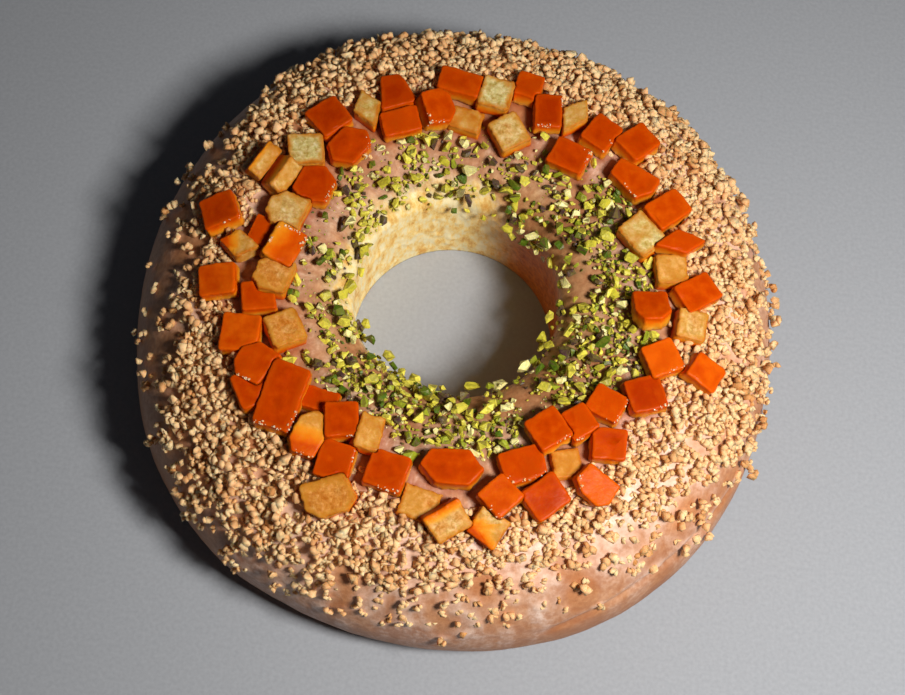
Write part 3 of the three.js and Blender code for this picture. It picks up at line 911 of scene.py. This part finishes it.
def baked_crust(add):
    place = add(PLACE)
    kept = {name: add(ATTRIBUTE, attribute_name=name) for name in KEPT}
    fine = add(NOISE, {"Vector": place, "Scale": per_metre(2.2), "Detail": 8, "Roughness": 0.6})
    bare = bare_crust(add, place, fine, kept)
    flow = add(ATTRIBUTE, attribute_name="flow").outputs["Vector"]
    streaks = add(NOISE, {"Vector": flow, "Scale": per_metre(5), "Detail": 7, "Roughness": 0.62,
                                "Distortion": 0.4})
    thick = add(SPAN, {"Value": streaks, "From Min": 0.38, "From Max": 0.6, "To Min": 0.2})
    frost = add(SPAN, {"Value": fine, "From Min": 0.44, "From Max": 0.62, "To Min": 0.5, "To Max": 1.15})
    film = add(MATH, {0: kept["glaze"], 1: thick})
    film = add(MATH, {0: film, 1: frost})
    outwards = add(SPAN, {"Value": kept["reach"], "From Min": -32, "From Max": -14})
    sugar = add(MIX, {"Factor": outwards, MIX_A: "EAC68A", MIX_B: "E8CEC0"})
    share = add(MATH, {0: film, 1: 0.72})
    glazed = add(MIX, {"Factor": share, MIX_A: bare, MIX_B: sugar})
    pool = add(MATH, {0: kept["pooled"], 1: kept["glaze"]})
    # The syrup layer is seep and painted contact shade at each die's foot; the last layer is painted shade
    # between the pistachio bits.
    layers = [(pool, 0.75, "E6C6B2"), (kept["syrup"], 0.7, "8E3D14"), (kept["shade_among_pistachios"], 0.45, "744A2A")]
    for amount, most, colour in layers:
        share = add(MATH, {0: amount, 1: most})
        glazed = add(MIX, {"Factor": share, MIX_A: glazed, MIX_B: colour})
    ridges = add(MATH, {0: streaks, 1: fine}, operation="ADD")
    bump = add(BUMP, {"Height": ridges, "Strength": 0.5, "Distance": 0.5 * MM})
    satin = add(SPAN, {"Value": film, "To Min": 0.5, "To Max": 0.32})
    return add(SURFACE, {"Base Color": glazed, "Roughness": satin, "Normal": bump, "IOR": 1.45})


# %% [markdown]
# Candied peel is half sugar: light goes a few millimetres in, so the cut sides glow amber between
# the orange skin and the pale pith, and the whole die has the wet gloss of set syrup. Pith takes
# the syrup up unevenly, so one die is dry and straw-coloured and the next is amber through and
# through, with clouds of both in each.

# %% Candied orange peel
def candied_peel(add):
    place = add(PLACE)
    skin, inside, tone = [add(ATTRIBUTE, attribute_name=name) for name in ("skin", "inside", "tone")]
    fibres = add(NOISE, {"Vector": place, "Scale": per_metre(1.9), "Detail": 6, "Roughness": 0.6,
                               "Distortion": 0.3})
    clouds = add(NOISE, {"Vector": place, "Scale": per_metre(5), "Detail": 4})
    wander = add(SPAN, {"Value": clouds, "From Min": 0.25, "From Max": 0.75, "To Min": -1, "To Max": 1})
    depth = add(MATH, {0: wander, 1: 0.13, 2: skin}, operation="MULTIPLY_ADD")
    cut_side = add(RAMP, {"Fac": depth}, [
        (0.06, "E0A83E"), (0.28, "E49828"), (0.5, "E28012"), (0.7, "DA5E04"), (0.85, "CA4800")])
    mottled = add(MATH, {0: wander, 1: 0.35, 2: tone}, operation="MULTIPLY_ADD")
    zest = add(RAMP, {"Fac": mottled}, [(0.0, "A42E00"), (0.5, "BC3F00"), (1.0, "D45B06")])
    outermost = add(SPAN, {"Value": skin, "From Min": 0.76, "From Max": 0.94})
    skinned = add(MIX, {"Factor": outermost, MIX_A: cut_side, MIX_B: zest})
    dry_pith = add(RAMP, {"Fac": fibres}, [(0.34, "A88C44"), (0.5, "CAB676"), (0.66, "E0D4A2")])
    wet_pith = add(RAMP, {"Fac": fibres}, [(0.34, "B86A1E"), (0.5, "CC8436"), (0.66, "DEA058")])
    soaked = add(MATH, {0: wander, 1: 0.3, 2: tone}, operation="MULTIPLY_ADD")
    pith = add(MIX, {"Factor": soaked, MIX_A: dry_pith, MIX_B: wet_pith})
    edge = add(MATH, {0: wander, 1: 0.8, 2: inside}, operation="MULTIPLY_ADD")
    open_face = add(SPAN, {"Value": edge, "From Min": 0.3, "From Max": 2.2, "To Min": 0.1})
    palest = add(SPAN, {"Value": skin, "From Min": 0.04, "From Max": 0.3, "To Min": 1, "To Max": 0})
    fibrous = add(MATH, {0: open_face, 1: palest})
    layered = add(MIX, {"Factor": fibrous, MIX_A: skinned, MIX_B: pith})
    # A lighter orange rim along the edges of the zest faces is painted highlight; on pith faces the rim is a
    # darker amber.
    rim_colour = add(RAMP, {"Fac": skin}, [(0.1, "AC5A0C"), (0.4, "DA861A"), (0.9, "D65C08")])
    at_rim = add(SPAN, {"Value": edge, "From Min": 1.9, "From Max": 0.1, "To Max": 0.85})
    less_on_skin = add(SPAN, {"Value": skin, "From Min": 0.3, "From Max": 0.9, "To Min": 1, "To Max": 0.5})
    rim = add(MATH, {0: at_rim, 1: less_on_skin})
    rimmed = add(MIX, {"Factor": rim, MIX_A: layered, MIX_B: rim_colour})
    pits = add(BUMP, {"Height": fibres, "Strength": 0.35, "Distance": 0.4 * MM})
    return add(SURFACE, {
        "Base Color": rimmed, "Normal": pits, "Roughness": 0.3, "IOR": 1.45, "Specular IOR Level": 0.06,
        "Subsurface Weight": 0.35, "Subsurface Radius": (1.0, 0.35, 0.06), "Subsurface Scale": 2.5 * MM})


# %% [markdown]
# Roasted nut is dry and matt, cream where it was cut and tan where the roast caught it. It is
# oily enough for light to go a little way in, so a small grain has no dark side.

# %% Roasted nut
def roasted_nut(add):
    place = add(PLACE)
    tone = add(ATTRIBUTE, attribute_name="tone")
    cream = add(RAMP, {"Fac": tone}, [(0.0, "F4D0A0"), (0.5, "EEC08E"), (0.85, "DEAC78"), (1.0, "C68E56")])
    roast = add(NOISE, {"Vector": place, "Scale": per_metre(2), "Detail": 3})
    caught = add(SPAN, {"Value": roast, "From Min": 0.5, "From Max": 0.68, "To Max": 0.45})
    browner = add(MIX, {"Factor": caught, MIX_A: cream, MIX_B: "CC8E50"})
    grit = add(NOISE, {"Vector": place, "Scale": per_metre(1.1), "Detail": 5, "Roughness": 0.6})
    bump = add(BUMP, {"Height": grit, "Strength": 0.5, "Distance": 0.5 * MM})
    return add(SURFACE, {
        "Base Color": browner, "Normal": bump, "Roughness": 0.6, "IOR": 1.45, "Specular IOR Level": 0.3,
        "Subsurface Weight": 0.6, "Subsurface Radius": (1.0, 0.7, 0.5), "Subsurface Scale": 1.8 * MM})


# %% [markdown]
# A raw pistachio is green outside and yellower within, under a thin purple skin. A bit shows one
# of them on most of its faces, so each bit has a colour of its own and some faces take another.

# %% Chopped pistachio
def raw_pistachio(add):
    tone = add(ATTRIBUTE, attribute_name="tone")
    cut = add(ATTRIBUTE, attribute_name="cut")
    kinds = add(RAMP, {"Fac": tone}, [
        (0.0, "EAE056"), (0.3, "D0C640"), (0.54, "9CA62A"), (0.66, "F4ECA4"), (0.83, "4C6814"),
        (0.92, "503638")])
    kinds.color_ramp.interpolation = "CONSTANT"
    skin = add(RAMP, {"Fac": cut}, [(0.0, "748E1A"), (0.5, "A0982A"), (1.0, "5A4432")])
    share = add(SPAN, {"Value": cut, "From Min": 0.5, "From Max": 0.95, "To Max": 0.8})
    faced = add(MIX, {"Factor": share, MIX_A: kinds, MIX_B: skin})
    grain = add(NOISE, {"Vector": add(PLACE), "Scale": per_metre(1.2), "Detail": 4})
    shade = add(SPAN, {"Value": grain, "From Min": 0.55, "From Max": 0.4, "To Max": 0.25})
    shaded = add(MIX, {"Factor": shade, MIX_A: faced, MIX_B: "6E7214"})
    bump = add(BUMP, {"Height": grain, "Strength": 0.7, "Distance": 0.6 * MM})
    return add(SURFACE, {
        "Base Color": shaded, "Normal": bump, "Roughness": 0.4, "IOR": 1.45, "Specular IOR Level": 0.4,
        "Subsurface Weight": 0.3, "Subsurface Radius": (0.8, 1.0, 0.2), "Subsurface Scale": 1 * MM})


# %% [markdown]
# Syrup that dried in beads is clear amber sugar, and where it crystallised it is nearly white. Both
# are as smooth as glass, so each bead shows one small bright highlight. The near-white tint is also
# painted highlight, so that each bead reads as a glint.

# %% Dried syrup
def syrup_and_glint_finish(add):
    cut = add(ATTRIBUTE, attribute_name="cut")
    # The near-white tint is painted highlight.
    tint = add(RAMP, {"Fac": cut}, [(0.0, "FFB654"), (0.45, "FFDFA8"), (0.85, "FFF8EC")])
    return add(SURFACE, {"Base Color": tint, "Roughness": 0.12, "IOR": 1.49, "Transmission Weight": 0.2})


# %% Putting the finishes on
finish([loaf], "baked_brioche_crust_sugar_glaze", baked_crust)
finish(dice, "candied_orange_peel_set_syrup", candied_peel)
finish([nuts], "roasted_chopped_nut", roasted_nut)
finish([greens], "raw_chopped_pistachio", raw_pistachio)
finish([beads], "sugar_syrup_and_painted_glints", syrup_and_glint_finish)
print("finishes:", [m.name for m in bpy.data.materials if m.users])

# %% [markdown]
# ## Floor, light and camera
# A plain pale floor and a soft key from the right front show the loaf's roundness, with a dim
# sky so that the left side keeps its colour. The camera looks down steeply, a little rolled.

# %% Floor
FLOOR_HALF = 3000  # mm


def matt_paper(add):
    pulp = add(NOISE, {"Vector": add(PLACE), "Scale": per_metre(1.5), "Detail": 4})
    tint = add(RAMP, {"Fac": pulp}, [(0.3, "9A9FA8"), (0.7, "A3A8B1")])
    return add(SURFACE, {"Base Color": tint, "Roughness": 0.9})


corners = np.array([(-1, -1, 0), (1, -1, 0), (1, 1, 0), (-1, 1, 0)])
floor = link_mesh("floor", corners * FLOOR_HALF, [(0, 1, 2, 3)])
finish([floor], "matt_grey_paper", matt_paper)


# %% Light
def soft_light(name, azimuth, elevation, distance, size, watts, colour):
    """A square area light that looks at the loaf from a direction in degrees and a distance in mm."""
    data = bpy.data.lights.new(name, "AREA")
    data.size, data.energy, data.color = size * MM, watts, linear(colour)[:3]
    lamp, away = link(name, data), direction(azimuth, elevation)
    lamp.location = away * distance * MM
    lamp.rotation_euler = away.to_track_quat("Z", "Y").to_euler()


SKY_STRENGTH = 0.027
soft_light("key", -32, 58, 610, 120, 4.35, "FFF9F0")
soft_light("fill", 160, 50, 1500, 900, 0.08, "E4ECFF")
world = bpy.data.worlds.new("sky")
world.use_nodes = True
sky = world.node_tree.nodes["Background"].inputs
sky["Color"].default_value, sky["Strength"].default_value = linear("E4E8F0"), SKY_STRENGTH
bpy.context.scene.world = world
bpy.context.scene.view_settings.view_transform = "Standard"

# %% Camera
AIM, DISTANCE, ELEVATION, ROLL, LENS = (-0.18, -0.46, 0), 591.8, 69.8, 6.85, 56.8  # mm, mm, degrees, mm


def set_camera():
    data = bpy.data.cameras.new("camera")
    data.lens, data.sensor_width = LENS, 36
    camera = link("camera", data)
    rise = math.radians(ELEVATION)
    back = Vector((0, -math.cos(rise), math.sin(rise)))
    camera.location = (Vector(AIM) + back * DISTANCE) * MM
    camera.rotation_mode = "QUATERNION"
    level = back.to_track_quat("Z", "Y")
    camera.rotation_quaternion = level @ Matrix.Rotation(math.radians(ROLL), 3, "Z").to_quaternion()
    bpy.context.scene.camera = camera


set_camera()
